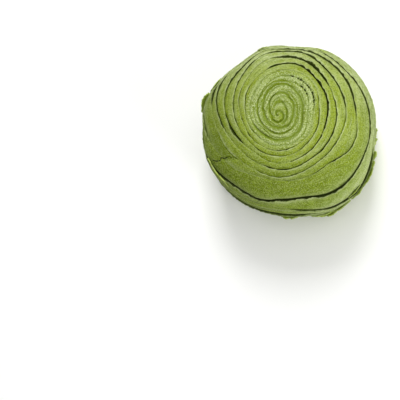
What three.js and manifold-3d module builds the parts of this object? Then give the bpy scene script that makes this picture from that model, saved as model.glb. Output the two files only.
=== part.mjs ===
// Matcha flaky pastry: a filled round pastry baked with its rolled layers on the outside.
//
// Three sheets of dough lie on each other, are rolled up, cut across, and drawn down over a filling.
// Their edges run as a three-start spiral from an eye on top, over the shoulder and down the side to
// a flat base. Each turn tucks under the raised edge of the next one outward, as the scales of an
// onion do, and here and there such a seam has sprung open in the oven.
//
// Millimetres, +Z up. The origin is the middle of the outline on the plane the pastry stands on.
// Angles are measured counter-clockwise from +X, seen from above.

import * as THREE from 'three';
import Module from 'manifold-3d';

// Body
const HEIGHT = 44;
const BODY_RADIUS = 30.3;
const WIDEST_AT = 18;            // height of the widest ring
const BASE_RADIUS = 25;          // edge of the flat base
const SHOULDER_POWER = 2.6;      // superellipse power above the widest ring, 2 would be round
const FOOT_POWER = 2.4;          // the same below it
const OUTLINE_STEPS = 240;

// How far the body bulges out of round, every 20 degrees from +X
const BULGES = [-0.8, 0.3, 0.6, 0.5, -0.7, 0.4, -0.6, 0.3, 1.2, 0.2, 0.6, -0.1, -0.6, -0.8, -0.6, 0.7, 0.9, 0];
const BULGES_GROW = { from: 12, to: 36 };  // over these millimetres from the top of the axis
const BULGE_TWIST = 0.006;       // radians per millimetre down the outline, about the widest place
const WIDEST_WAY = 45;           // way down the outline to the widest place

// Spiral. The turn count f is 0 at the eye and TURNS at the base's edge, and it rises by one from each
// seam to the next one outward. SHEETS seams start at the eye, and run inward counter-clockwise.
const SHEETS = 3;
const TURNS = 22;
const EYE = { x: 0.25, y: -0.2 };
const DRIFT = { from: 13, to: TURNS };   // over these turns the spiral's middle moves from the eye to the axis

// Distance of a turn from the eye along the surface, every 45 degrees from +X. The turns lie closer
// towards the lower left and wider towards the upper right, and one broad turn is left bare below.
const TURN_DISTANCES = [
  { turn: 7, distances: [9.5, 13, 13.5, 9.5, 9, 8, 9.5, 10] },
  { turn: 9, distances: [13.5, 16.5, 18.5, 15.5, 12, 11.5, 12.5, 13] },
  { turn: 10, distances: [16.5, 18.5, 22, 18.5, 14, 13, 14.5, 15.3] },
  { turn: 11, distances: [20, 21.5, 26.5, 21.5, 17, 14.5, 16.5, 17.7] },
  { turn: 12, distances: [22.5, 24.5, 28.5, 25, 20.2, 17, 19, 20] },
  { turn: 13, distances: [27.8, 28.8, 29.5, 30.8, 22.6, 20, 21.5, 22] },
  { turn: 14, distances: [37, 31, 33, 32.3, 26.3, 23.3, 22.7, 26.5] },
  { turn: 15, distances: [42, 38.5, 38, 36.5, 36, 31.6, 37.2, 45.5] },
  { turn: 16, distances: [45, 41, 40, 38.5, 38.5, 37.2, 37.8, 53] },
];
const EASE = 0.3;                // turns over which one spacing passes into the next

// Relief across one turn, from its raised edge (q = 0) to where it tucks under the next (q = 1)
const EDGE_LIFT = { eye: 0.1, side: 0.26 };
const TUCK_DEPTH = { eye: 0.12, side: 0.24 };
const CROWN = 0.1;
const RELIEF_GROWS = { from: 5, to: 16 };
const RELIEF_STARTS = 2.5;       // turns from the smooth eye to full relief
const RELIEF_ENDS = 1.2;         // turns over which it fades before the base's edge
const EDGE_WAVES = [             // how the edges waver in and out, and rise and fall, on their way
  { perTurn: 5.1, size: 0.06 },
  { perTurn: 13.3, size: 0.045 },
];

// Soft valleys that wind in round the eye: depth, start in degrees, and distance from the eye every 45
// degrees, inwards
const EYE_GROOVES = [
  {
    depth: 0.5,
    start: -180,
    distances: [
      9.7, 8.4, 8.5, 8.6, 8, 9.5, 11.1, 7.4, 4.9, 4.3, 4.4, 4.7, 4.8, 6.3, 7.8, 4.7, 2.5, 2.5, 2.4, 1.9,
    ],
  },
  { depth: 0.36, start: 45, distances: [10.7, 12.5, 9.3, 7, 6.3, 6.3, 6.4, 6.2, 7.5, 9.2] },
  { depth: 0.45, start: 270, distances: [3.1, 3, 2.7, 3.3, 4.7, 3] },
];
const EYE_GROOVE_WIDTH = 0.6;
const EYE_GROOVE_STEP = 45;
const EYE_GROOVE_ENDS = 35;      // degrees over which each valley runs out

// Seams that have sprung open. Angles run on past 360 with the spiral, which is then three seams
// further in. The gap is the crack's width and depth, the lift how far the outer edge stands off.
const OPEN_SEAMS = [
  { seam: 10, from: 125, to: 182, gap: 0.18, lift: 0.05 },
  { seam: 11, from: 258, to: 305, gap: 0.18, lift: 0.05 },
  { seam: 12, from: 105, to: 200, gap: 0.16, lift: 0.05 },
  { seam: 12, from: 295, to: 395, gap: 0.12, lift: 0.05 },
  { seam: 13, from: 100, to: 180, gap: 0.14, lift: 0.05 },
  { seam: 13, from: 165, to: 222, gap: 0.38, lift: 0.3 },
  { seam: 13, from: 278, to: 345, gap: 0.2, lift: 0.05 },
  { seam: 13, from: 330, to: 470, gap: 0.42, lift: 0.05 },
  { seam: 14, from: 130, to: 200, gap: 0.22, lift: 0.1 },
  { seam: 14, from: 245, to: 392, gap: 0.16, lift: 0.05 },
  { seam: 14, from: 388, to: 462, gap: 0.65, lift: 0.1 },
  { seam: 15, from: 146, to: 168, gap: 0.4, lift: 0.5 },
  { seam: 15, from: 240, to: 375, gap: 0.1, lift: 0.05 },
  { seam: 15, from: 362, to: 470, gap: 0.34, lift: 0.1 },
  { seam: 16, from: 160, to: 205, gap: 0.15, lift: 0.2 },
  { seam: 16, from: 305, to: 365, gap: 0.14, lift: 0.05 },
  { seam: 16, from: 355, to: 465, gap: 0.38, lift: 0.1 },
  { seam: 17, from: 170, to: 205, gap: 0.2, lift: 0.2 },
  { seam: 17, from: 190, to: 265, gap: 0.55, lift: 0.3 },
  { seam: 17, from: 245, to: 325, gap: 0.4, lift: 0.3 },
  { seam: 17, from: 305, to: 430, gap: 0.15, lift: 0.1 },
  { seam: 18, from: 262, to: 352, gap: 0.22, lift: 0.45 },
  { seam: 19, from: 90, to: 160, gap: 0.5, lift: 0.4 },
  { seam: 20, from: 190, to: 290, gap: 0.35, lift: 0.4 },
  { seam: 21, from: 60, to: 190, gap: 0.7, lift: 0.6 },
];
const SEAM_OPENS_OVER = 18;      // degrees from a closed seam to its full gap
const PRESSED_SHUT = 0.4;        // share of the relief that is left where a seam hasn't sprung open
const SPRUNG = { from: 16, to: 18 };     // outside these turns all seams show their full relief
const LAYERED = { from: 7, to: 9 };      // inside these turns the sheets stand on edge, pressed together

// Outside one seam the sheet is torn away over some degrees, and the layer under it lies bare
const BARE = { seam: 15, from: 184, to: 225, depth: 0.35 };
const BARE_OPENS_OVER = 8;

// Skin mesh
const COLUMNS = 72;
const ROWS_ACROSS_TURN = [0, 0.42, 1];
const INNERMOST_ROW = 1.1;       // turn counts between which there are rows
const OUTERMOST_ROW = TURNS - 0.25;

// Torn flakes: each is rooted under the surface, a way down the outline from the top and at an angle,
// and its free edge points up the side. Length runs along the seam.
const FLAKES = [
  { down: 38.5, angle: 161, length: 7.5, height: 4.5, off: 1.5 },
  { down: 35, angle: 148, length: 6, height: 3.5, off: 0.8 },
  { down: 33, angle: 106, length: 4, height: 2.4, off: 0.8 },
  { down: 33, angle: 62, length: 4, height: 2.2, off: 0.7 },
  { down: 52, angle: 344, length: 3, height: 2.5, off: 1.2 },
  { down: 52.5, angle: 338, length: 3, height: 2.2, off: 1.2 },
  { down: 54, angle: 330, length: 9, height: 3.5, off: 1.4 },
  { down: 56, angle: 318, length: 7, height: 3, off: 1 },
  { down: 57, angle: 303, length: 8, height: 3.5, off: 1.1 },
  { down: 57, angle: 289, length: 8, height: 3.5, off: 0.9 },
  { down: 48.5, angle: 315.5, length: 6, height: 3.6, off: 1 },
  { down: 36, angle: 214, length: 13, height: 3.5, off: 0.9 },
];
const FOOT_FLAKES = { count: 15, down: 60.5, length: 6.5, height: 3.2, off: 1.2 };
const FLAKE_THICKNESS = 0.6;
const FLAKE_STATIONS = 4;
const FLAKE_LEAN = 0.045;        // how far one end of a flake sits lower, as a share of its length
const FLAKE_ROOT = { inside: 1.4, outside: 0.35 };  // reach of its root below and above the surface
const FLAKE_RAGS = [             // how a flake's height varies along its free edge, as shares of it
  { waves: 7, size: 0.24, shift: 2 },
  { waves: 17, size: 0.12, shift: 1 },
];
const FOOT_FLAKES_VARY = { size: 0.3, way: 3, angle: 0.35 };

const PASTRY = { color: 0x9cab52, roughness: 0.85, metalness: 0 };

const FULL_CIRCLE = 2 * Math.PI;
const { clamp, lerp, smoothstep, degToRad, radToDeg } = THREE.MathUtils;

// Points of the outline from the top of the axis to the base's edge, with the length walked so far.
function bodyOutline() {
  const belowToPole = WIDEST_AT / (1 - (BASE_RADIUS / BODY_RADIUS) ** FOOT_POWER) ** (1 / FOOT_POWER);
  const footEnd = Math.asin((WIDEST_AT / belowToPole) ** (FOOT_POWER / 2));
  const points = [];
  for (let i = 0; i <= OUTLINE_STEPS; i++) {
    const t = (i / OUTLINE_STEPS) * (Math.PI / 2);
    points.push({
      r: BODY_RADIUS * Math.sin(t) ** (2 / SHOULDER_POWER),
      z: WIDEST_AT + (HEIGHT - WIDEST_AT) * Math.max(Math.cos(t), 0) ** (2 / SHOULDER_POWER),
      length: 0,
    });
  }
  for (let i = 1; i <= OUTLINE_STEPS; i++) {
    const t = (i / OUTLINE_STEPS) * footEnd;
    points.push({
      r: BODY_RADIUS * Math.cos(t) ** (2 / FOOT_POWER),
      z: Math.max(WIDEST_AT - belowToPole * Math.sin(t) ** (2 / FOOT_POWER), 0),
      length: 0,
    });
  }
  for (let i = 1; i < points.length; i++) {
    const step = Math.hypot(points[i].r - points[i - 1].r, points[i].z - points[i - 1].z);
    points[i].length = points[i - 1].length + step;
  }
  return points;
}

const outline = bodyOutline();
const OUTLINE_LENGTH = outline[outline.length - 1].length;

// Radius, height and outward normal of the smooth body at a length along its outline.
function outlineAt(length) {
  const wanted = clamp(length, 0, OUTLINE_LENGTH);
  let low = 0;
  let high = outline.length - 1;
  while (high - low > 1) {
    const middle = (low + high) >> 1;
    if (outline[middle].length > wanted) high = middle;
    else low = middle;
  }
  const a = outline[low];
  const b = outline[high];
  const share = (wanted - a.length) / (b.length - a.length);
  const size = Math.hypot(b.r - a.r, b.z - a.z);
  return {
    r: lerp(a.r, b.r, share),
    z: lerp(a.z, b.z, share),
    normalR: (a.z - b.z) / size,
    normalZ: (b.r - a.r) / size,
  };
}

// Smooth curve from b to c, with a before them and d after them.
function curveThrough([a, b, c, d], t) {
  return b + 0.5 * t * (c - a + t * (2 * a - 5 * b + 4 * c - d + t * (3 * (b - c) + d - a)));
}

// Smooth curve through values that stand at equal angles round the circle.
function valueRound(values, angle) {
  const place = (((angle / FULL_CIRCLE) % 1) + 1) % 1 * values.length;
  const i = Math.floor(place);
  const near = [-1, 0, 1, 2].map((step) => values[(i + step + values.length) % values.length]);
  return curveThrough(near, place - i);
}

// Smooth curve through values that stand at places 0, 1, 2 and so on.
function valueAlong(values, wanted) {
  const last = values.length - 1;
  const place = clamp(wanted, 0, last);
  const i = Math.floor(place);
  return curveThrough([-1, 0, 1, 2].map((step) => values[clamp(i + step, 0, last)]), place - i);
}

function bumpAt(angle, length) {
  const bulge = valueRound(BULGES, angle + BULGE_TWIST * (length - WIDEST_WAY));
  return bulge * smoothstep(length, BULGES_GROW.from, BULGES_GROW.to);
}

// Distance of a turn from the eye, straight from the table.
function tableDistance(f, angle) {
  if (f > TURNS) return OUTLINE_LENGTH;
  let inner = { turn: 0, distance: 0 };
  for (const row of TURN_DISTANCES) {
    const outer = { turn: row.turn, distance: valueRound(row.distances, angle) };
    if (f <= outer.turn) {
      return lerp(inner.distance, outer.distance, (f - inner.turn) / (outer.turn - inner.turn));
    }
    inner = outer;
  }
  return lerp(inner.distance, OUTLINE_LENGTH, (f - inner.turn) / (TURNS - inner.turn));
}

// The same, with one spacing passing softly into the next.
function turnDistance(f, angle) {
  return (tableDistance(f - EASE, angle) + 2 * tableDistance(f, angle) + tableDistance(f + EASE, angle)) / 4;
}

// Where a point of the spiral lies: length along the body's outline, and angle round its axis.
function spiralPlace(f, angle) {
  const distance = turnDistance(f, angle);
  const drift = 1 - smoothstep(f, DRIFT.from, DRIFT.to);
  const x = EYE.x * drift + distance * Math.cos(angle);
  const y = EYE.y * drift + distance * Math.sin(angle);
  return { length: Math.hypot(x, y), angle: Math.atan2(y, x) };
}

// A point that lies a distance out from the smooth body at a place.
function surfacePoint(place, out) {
  const body = outlineAt(place.length);
  const r = Math.max(body.r + body.normalR * out, 0);
  return [r * Math.cos(place.angle), r * Math.sin(place.angle), Math.max(body.z + body.normalZ * out, 0)];
}

// One between two limits, easing to zero over a ramp inside them.
function windowed(value, { from, to }, ramp) {
  const eased = Math.min(ramp, (to - from) / 2);
  return smoothstep(value, from, from + eased) * (1 - smoothstep(value, to - eased, to));
}

// Depth of the valleys round the eye at a distance from it.
function eyeGroove(distance, degrees) {
  let deepest = 0;
  for (const { depth, start, distances } of EYE_GROOVES) {
    const run = { from: start, to: start + EYE_GROOVE_STEP * (distances.length - 1) };
    for (let along = degrees - 360; along < run.to; along += 360) {
      const aside = distance - valueAlong(distances, (along - start) / EYE_GROOVE_STEP);
      const near = Math.exp(-((aside / EYE_GROOVE_WIDTH) ** 2));
      deepest = Math.max(deepest, depth * near * windowed(along, run, EYE_GROOVE_ENDS));
    }
  }
  return deepest;
}

// How far a seam has sprung open at an angle between 0 and 360 degrees, and the share of its relief that shows.
function openingOf(seam, degrees, f) {
  const opening = { gap: 0, lift: 0, share: 0 };
  for (const open of OPEN_SEAMS) {
    const laps = (open.seam - seam) / SHEETS;
    if (!Number.isInteger(laps)) continue;
    const along = degrees + 360 * laps;
    const share = windowed(along, open, SEAM_OPENS_OVER);
    opening.gap = Math.max(opening.gap, open.gap * share);
    opening.lift = Math.max(opening.lift, open.lift * share);
    opening.share = Math.max(opening.share, share);
  }
  opening.share = Math.max(lerp(PRESSED_SHUT, 1, opening.share), smoothstep(f, SPRUNG.from, SPRUNG.to));
  return opening;
}

// Wavering of a seam's edge on its way along the spiral.
function edgeWaver(seam, f) {
  const sheet = seam % SHEETS;
  return EDGE_WAVES.reduce((sum, wave) => sum + wave.size * Math.sin(wave.perTurn * f + 2.4 * sheet), 0);
}

// A point of the skin, at a share q across the turn that starts at a seam.
function skinPoint(seam, q, angle) {
  const degrees = radToDeg(angle);
  const f = seam + q - (SHEETS * degrees) / 360;
  const growth = smoothstep(f, RELIEF_GROWS.from, RELIEF_GROWS.to);
  const fade = smoothstep(f, INNERMOST_ROW, RELIEF_STARTS) * smoothstep(TURNS - f, 0, RELIEF_ENDS);
  const layered = smoothstep(f, LAYERED.from, LAYERED.to);
  const inner = openingOf(seam, degrees, f);
  const outer = openingOf(seam + 1, degrees, f);
  const innerWaver = edgeWaver(seam, f);
  const outerWaver = edgeWaver(seam + 1, f);
  const lift = inner.share * lerp(EDGE_LIFT.eye, EDGE_LIFT.side, growth) * (1 + 4 * innerWaver) + inner.lift;
  const tuck = outer.share * lerp(TUCK_DEPTH.eye, TUCK_DEPTH.side, growth) + outer.gap;
  const bare = seam === BARE.seam ? windowed(degrees, BARE, BARE_OPENS_OVER) * (1 - q ** 3) : 0;
  const leaf = lift * (1 - q) ** 1.5 - tuck * q ** 4 + CROWN * Math.sin(Math.PI * q);
  const relief = layered * leaf - BARE.depth * bare;
  const slide = 0.5 * (inner.gap * (1 - q) ** 6 - outer.gap * q ** 8);
  const place = spiralPlace(f + fade * lerp(innerWaver, outerWaver, q), angle);
  place.length += fade * slide;
  const wound = eyeGroove(turnDistance(f, angle), degrees);
  return surfacePoint(place, fade * (relief + bumpAt(place.angle, place.length) - wound));
}

// One closed skin: columns round the eye, and rows that follow the seams.
function skinMesh() {
  const perTurn = ROWS_ACROSS_TURN.length;
  const vertices = [];
  const triangles = [];
  const columns = [];
  const add = (point) => vertices.push(point) - 1;
  for (let i = 0; i < COLUMNS; i++) {
    const angle = (FULL_CIRCLE * i) / COLUMNS;
    const column = { rows: new Map(), first: Infinity, last: -Infinity };
    for (let row = 0; row < (TURNS + SHEETS) * perTurn; row++) {
      const seam = Math.floor(row / perTurn);
      const q = ROWS_ACROSS_TURN[row % perTurn];
      const f = seam + q - (SHEETS * i) / COLUMNS;
      if (f < INNERMOST_ROW || f > OUTERMOST_ROW) continue;
      column.rows.set(row, add(skinPoint(seam, q, angle)));
      column.first = Math.min(column.first, row);
      column.last = Math.max(column.last, row);
    }
    column.rim = add(surfacePoint({ length: OUTLINE_LENGTH, angle }, 0));
    columns.push(column);
  }
  // The first column again a whole lap later, where each seam has SHEETS more seams inside it
  const lap = SHEETS * perTurn;
  const [first] = columns;
  const again = { rows: new Map(), first: first.first + lap, last: first.last + lap, rim: first.rim };
  for (const [row, index] of first.rows) again.rows.set(row + lap, index);
  columns.push(again);

  const eye = add([EYE.x, EYE.y, outlineAt(Math.hypot(EYE.x, EYE.y)).z]);
  const foot = add([0, 0, 0]);
  for (let i = 0; i < COLUMNS; i++) {
    const here = columns[i];
    const next = columns[i + 1];
    for (let row = here.first; row < next.first; row++) {
      triangles.push([here.rows.get(row), here.rows.get(row + 1), next.rows.get(next.first)]);
    }
    for (let row = next.first; row < here.last; row++) {
      const [a, b] = [here.rows.get(row), here.rows.get(row + 1)];
      const [c, d] = [next.rows.get(row), next.rows.get(row + 1)];
      triangles.push([a, b, d], [a, d, c]);
    }
    for (let row = here.last; row < next.last; row++) {
      triangles.push([here.rows.get(here.last), next.rows.get(row + 1), next.rows.get(row)]);
    }
    triangles.push([eye, here.rows.get(here.first), next.rows.get(next.first)]);
    triangles.push([here.rows.get(here.last), here.rim, next.rows.get(next.last)]);
    triangles.push([next.rows.get(next.last), here.rim, next.rim]);
    triangles.push([here.rim, foot, next.rim]);
  }
  return { vertices, triangles };
}

// A torn flake: a bent leaf, rooted inside the body and thin and ragged at its free edge.
function flakeMesh({ down, angle, length, height, off }, index) {
  const ringSize = 4;
  const vertices = [];
  const triangles = [];
  for (let i = 0; i <= FLAKE_STATIONS; i++) {
    const across = (2 * i) / FLAKE_STATIONS - 1;
    const place = degToRad(angle) + (across * length) / 2 / BODY_RADIUS;
    const ragged = 1 + FLAKE_RAGS.reduce((sum, rag) => (
      sum + rag.size * Math.sin(rag.waves * across + rag.shift * index)), 0);
    const tall = height * ragged * Math.sqrt(1 - 0.9 * across * across);
    const lean = FLAKE_LEAN * length * across * (index % 2 ? 1 : -1);
    const root = { length: down + lean, angle: place };
    const tip = { length: root.length - tall, angle: place };
    const free = off * (1 - 0.5 * across * across) * ragged;
    vertices.push(
      surfacePoint(root, bumpAt(place, root.length) - FLAKE_ROOT.inside),
      surfacePoint(root, bumpAt(place, root.length) + FLAKE_ROOT.outside),
      surfacePoint(tip, bumpAt(place, tip.length) + free),
      surfacePoint(tip, bumpAt(place, tip.length) + free - FLAKE_THICKNESS),
    );
  }
  for (let i = 0; i < FLAKE_STATIONS; i++) {
    for (let j = 0; j < ringSize; j++) {
      const [a, b] = [i * ringSize + j, i * ringSize + ((j + 1) % ringSize)];
      triangles.push([a, a + ringSize, b + ringSize], [a, b + ringSize, b]);
    }
  }
  const end = FLAKE_STATIONS * ringSize;
  triangles.push([0, 1, 2], [0, 2, 3], [end, end + 2, end + 1], [end, end + 3, end + 2]);
  return { vertices, triangles };
}

function footFlakes() {
  const flakes = [];
  for (let i = 0; i < FOOT_FLAKES.count; i++) {
    const size = 1 + FOOT_FLAKES_VARY.size * Math.sin(1.7 * i + 0.5);
    flakes.push({
      down: FOOT_FLAKES.down - FOOT_FLAKES_VARY.way * Math.sin(3.1 * i) ** 2,
      angle: (360 / FOOT_FLAKES.count) * (i + FOOT_FLAKES_VARY.angle * Math.sin(2.3 * i)),
      length: FOOT_FLAKES.length * size,
      height: FOOT_FLAKES.height * size,
      off: FOOT_FLAKES.off * size,
    });
  }
  return flakes;
}

function toSolid(wasm, { vertices, triangles }) {
  const mesh = new wasm.Mesh({
    numProp: 3,
    vertProperties: Float32Array.from(vertices.flat()),
    triVerts: Uint32Array.from(triangles.flat()),
  });
  return new wasm.Manifold(mesh);
}

// The origin goes to the middle of the outline, on the floor.
function toGeometry(solid) {
  const mesh = solid.getMesh();
  const geometry = new THREE.BufferGeometry();
  geometry.setAttribute('position', new THREE.BufferAttribute(Float32Array.from(mesh.vertProperties), 3));
  geometry.setIndex(new THREE.BufferAttribute(Uint32Array.from(mesh.triVerts), 1));
  geometry.computeBoundingBox();
  const { min, max } = geometry.boundingBox;
  geometry.translate(-(min.x + max.x) / 2, -(min.y + max.y) / 2, -min.z);
  geometry.computeVertexNormals();
  return geometry;
}

const wasm = await Module();
wasm.setup();

let solid = toSolid(wasm, skinMesh());
[...FLAKES, ...footFlakes()].forEach((flake, index) => {
  solid = solid.add(toSolid(wasm, flakeMesh(flake, index)));
});

const pastry = new THREE.Mesh(toGeometry(solid), new THREE.MeshStandardMaterial(PASTRY));
pastry.name = 'pastry';

const model = new THREE.Group();
model.add(pastry);

export default model;
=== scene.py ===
"""Matcha flaky pastry: the finely modelled skin, its material, the floor, the light and the camera.

The skin follows the same named measures as the CAD solid, with finer rows and columns, so that the edges
of the dough turns, the cracks under them and the torn flakes have their real thickness.
Lengths are in millimetres until the mesh is made, and angles are counter-clockwise from +X.
"""

import math

import bpy
import numpy as np
from mathutils import Matrix, Vector


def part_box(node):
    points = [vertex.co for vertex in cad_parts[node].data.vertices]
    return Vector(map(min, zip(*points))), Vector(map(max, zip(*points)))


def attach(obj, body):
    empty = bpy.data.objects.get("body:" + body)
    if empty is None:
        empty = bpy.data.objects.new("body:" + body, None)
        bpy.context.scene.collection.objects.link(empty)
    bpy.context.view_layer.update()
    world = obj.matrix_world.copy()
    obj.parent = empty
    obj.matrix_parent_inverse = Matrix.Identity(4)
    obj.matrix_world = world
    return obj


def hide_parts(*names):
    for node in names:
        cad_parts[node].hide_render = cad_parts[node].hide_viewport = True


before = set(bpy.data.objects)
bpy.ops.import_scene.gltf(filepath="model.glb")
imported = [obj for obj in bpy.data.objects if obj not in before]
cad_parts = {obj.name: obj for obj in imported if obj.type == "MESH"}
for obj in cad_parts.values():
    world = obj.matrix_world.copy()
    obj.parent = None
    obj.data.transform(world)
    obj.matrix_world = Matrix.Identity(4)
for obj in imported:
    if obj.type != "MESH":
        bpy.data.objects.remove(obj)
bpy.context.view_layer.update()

MM = 0.001

# Body
HEIGHT = 44
BODY_RADIUS = 30.3
WIDEST_AT = 18
BASE_RADIUS = 25
SHOULDER_POWER = 2.6
FOOT_POWER = 2.4
OUTLINE_STEPS = 1200
SLOPE_STEP = 0.15                # the outline's slope is taken over this length to both sides
BULGES = (  # every 20 degrees from +X
    -0.8, 0.3, 0.6, 0.5, -0.7, 0.4, -0.6, 0.3, 1.2, 0.2, 0.6, -0.1, -0.6, -0.8, -0.6, 0.7, 0.9, 0,
)
BULGES_GROW = (12, 36)           # distance from the top of the axis
BULGE_TWIST = 0.006              # per mm down the outline, about the widest place
WIDEST_WAY = 45

# Spiral of seams: turn count 0 at the eye and TURNS at the base's edge
SHEETS = 3
TURNS = 22
EYE = (0.25, -0.2)
DRIFT = (13, TURNS)              # turns over which the spiral's middle moves from the eye to the axis
TABLE_STEP = 45                  # degrees between the values of a row in the tables below
TURN_DISTANCES = (  # turn, and its distance from the eye every 45 degrees from +X
    (7, (9.5, 13, 13.5, 9.5, 9, 8, 9.5, 10)),
    (9, (13.5, 16.5, 18.5, 15.5, 12, 11.5, 12.5, 13)),
    (10, (16.5, 18.5, 22, 18.5, 14, 13, 14.5, 15.3)),
    (11, (20, 21.5, 26.5, 21.5, 17, 14.5, 16.5, 17.7)),
    (12, (22.5, 24.5, 28.5, 25, 20.2, 17, 19, 20)),
    (13, (27.8, 28.8, 29.5, 30.8, 22.6, 20, 21.5, 22)),
    (14, (37, 31, 33, 32.3, 26.3, 23.3, 22.7, 26.5)),
    (15, (42, 38.5, 38, 36.5, 36, 31.6, 37.2, 45.5)),
    (16, (45, 41, 40, 38.5, 38.5, 37.2, 37.8, 53)),
)
EASE = 0.3                       # turns over which the table's corners are rounded
LEAST_WIDTH = 0.6                # of a turn

# Relief of one turn, from its own raised edge to where it tucks under the next one
EDGE_LIFT = (0.1, 0.26)          # near the eye, and further out
TUCK_DEPTH = (0.12, 0.24)        # the same
RELIEF_GROWS = (5, 16)           # the turns between which both grow
CROWN = 0.1                      # height of a turn's middle
RELIEF_STARTS = 2.5              # turns from the eye
RELIEF_ENDS = 1.2                # turns before the base's edge
EDGE_CURL = (0.6, 0.4, 0.5)      # share of the lift over the whole turn, share near its edge, and how near
TUCK_CURL = (0.4, 0.6, 0.4)      # the same for the tuck
EDGE_ROUNDING = (0.04, 0.06)     # depth and width
TUCK_ROUNDING = (0.06, 0.15)
SLIDE_REACH = 0.9                # how far into the turn an edge's ragged line is felt
CRUMBS = (0.7, 0.03, 0.2)        # length along the seam, height, and more height where the dough has crumbled
PRESSED_SHUT = 0.4               # share of the relief that is left where a seam hasn't sprung open
FOOT_SPRINGS = (16, 18)          # beyond these turns the whole relief stands
RIDGES_END = (7, 9)              # the turns inside these are soft rounded ridges without cracks
SEAM_GROOVE = 0.22               # depth of a seam between them
SEAM_GROOVE_WIDTH = 0.22
EYE_GROOVES = (  # width, depth, start in degrees, and distance from the eye every 45 degrees, inwards
    (0.38, 0.5, -180, (9.7, 8.4, 8.5, 8.6, 8, 9.5, 11.1, 7.4, 4.9, 4.3, 4.4, 4.7, 4.8, 6.3, 7.8, 4.7,
                       2.5, 2.5, 2.4, 1.9, 1.4, 1.3, 1.4, 1.4, 0.7, 0.6)),
    (0.26, 0.36, 45, (10.7, 12.5, 9.3, 7, 6.3, 6.3, 6.4, 6.2, 7.5, 9.2)),
    (0.36, 0.45, 270, (3.1, 3, 2.7, 3.3, 4.7, 3)),
)
EYE_GROOVES_EASE = 35            # degrees at both ends
EYE_GROOVE_RAGS = (0.9, 0.12)    # length along the seam, and size

# How the edges wander, in waves and kinks
EDGE_WAVES = ((5.1, 0.06), (13.3, 0.045))   # radians per turn, and size in turns
WAVE_SHIFT = 2.4                 # radians from one sheet to the next
WAVES_LIFT = 4                   # how strongly the waves change an edge's lift
KINK_LENGTH = 8
KINK_SIZE = 0.12                 # in turns
KINKS_START = (5, 10)            # the turns between which the kinks grow

# Seams that have sprung open, how their cracks change along them, and the ragged edges
OPEN_SEAMS = (  # seam, from and to in degrees, gap, lift, and how much the crack comes and goes
    (13, 330, 470, 0.42, 0.05, 0.15),
    (14, 388, 462, 0.65, 0.1, 0.25),
    (15, 362, 470, 0.34, 0.1, 0.3),
    (16, 355, 465, 0.38, 0.1, 0.15),
    (17, 170, 205, 0.2, 0.2, 0.2),
    (17, 190, 265, 0.55, 0.3, 0.1),
    (17, 245, 325, 0.4, 0.3, 0.1),
    (17, 305, 430, 0.15, 0.1, 0.15),
    (10, 125, 182, 0.18, 0.05, 0.3),
    (10, 185, 258, 0.08, 0.03, 0.4),
    (11, 130, 170, 0.06, 0.03, 0.3),
    (11, 258, 305, 0.18, 0.05, 0.3),
    (12, 105, 200, 0.16, 0.05, 0.3),
    (12, 250, 282, 0.06, 0.03, 0.3),
    (12, 295, 395, 0.12, 0.05, 0.4),
    (13, 100, 180, 0.14, 0.05, 0.3),
    (13, 165, 222, 0.38, 0.3, 0.1),
    (13, 278, 345, 0.2, 0.05, 0.3),
    (14, 130, 200, 0.22, 0.1, 0.2),
    (14, 245, 392, 0.16, 0.05, 0.3),
    (15, 146, 168, 0.4, 0.5, 0.1),
    (15, 240, 375, 0.1, 0.05, 0.5),
    (16, 160, 205, 0.15, 0.2, 0.2),
    (16, 305, 365, 0.03, 0.02, 0.3),
    (11, 362, 444, 0.42, 0, 1),
    (10, 378, 432, 0.34, 0, 1),
    (18, 262, 352, 0.22, 0.45, 0.1),
    (19, 90, 160, 0.5, 0.4, 0.2),
    (20, 190, 290, 0.35, 0.4, 0.2),
    (21, 60, 190, 0.7, 0.6, 0.2),
)
SEAM_OPENS_OVER = 18             # degrees
GAP_LENGTH = 2.5                 # along the seam, over which an open gap changes
GAP_SWING = 0.3                  # share that it changes by
DASH_LENGTH = 0.36               # of the dots and dashes where a crack comes and goes
DASH_ENDS = 0.3                  # how softly they end
CLOSED_GAP = 0.14                # width of a seam that hasn't sprung open
CLOSED_GAP_LENGTHS = (3.5, 11)   # over which it changes, a short and a long one
CLOSED_GAP_MEAN = 0.3            # this and the next are shares of its width
CLOSED_GAP_SWING = 0.8
LEAST_GAP = 0.04                 # width of a crack's floor where the seam is shut
GAP_GROWS = (7, 10.5)            # the turns between which closed gaps and cracks grow
GAP_TUCK = 0.2                   # how much deeper an open seam tucks
RAGS = ((1.1, 0.07), (0.55, 0.05))   # length along the edge, and size
RAGS_BY_GAP = 2                  # how strongly an open gap adds to them

# Places that differ from the rest
CRUMBLED = (2, 84, 6.9, 8.3)     # from and to in degrees, from and to in seams
CRUMBLED_EASE = (18, 0.4)        # in degrees and in seams
BARE_SEAM = 15                   # the sheet outside this seam is torn away between two angles
BARE = (184, 225)
BARE_EASE = 8                    # degrees at both ends
TORN_DEPTH = 0.35
TORN_STARTS_OVER = 10            # degrees
TORN_ENDS_OVER = 1.5
TORN_LEAN = 9                    # degrees that the tear leans back across the turn
TORN_KINKS = 5                   # across the turn
FLAT_SEAM = 16                   # this seam is pressed flat and can't be seen between two angles
FLAT = (186, 244)
FLAT_EASE = 10                   # degrees at both ends

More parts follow.
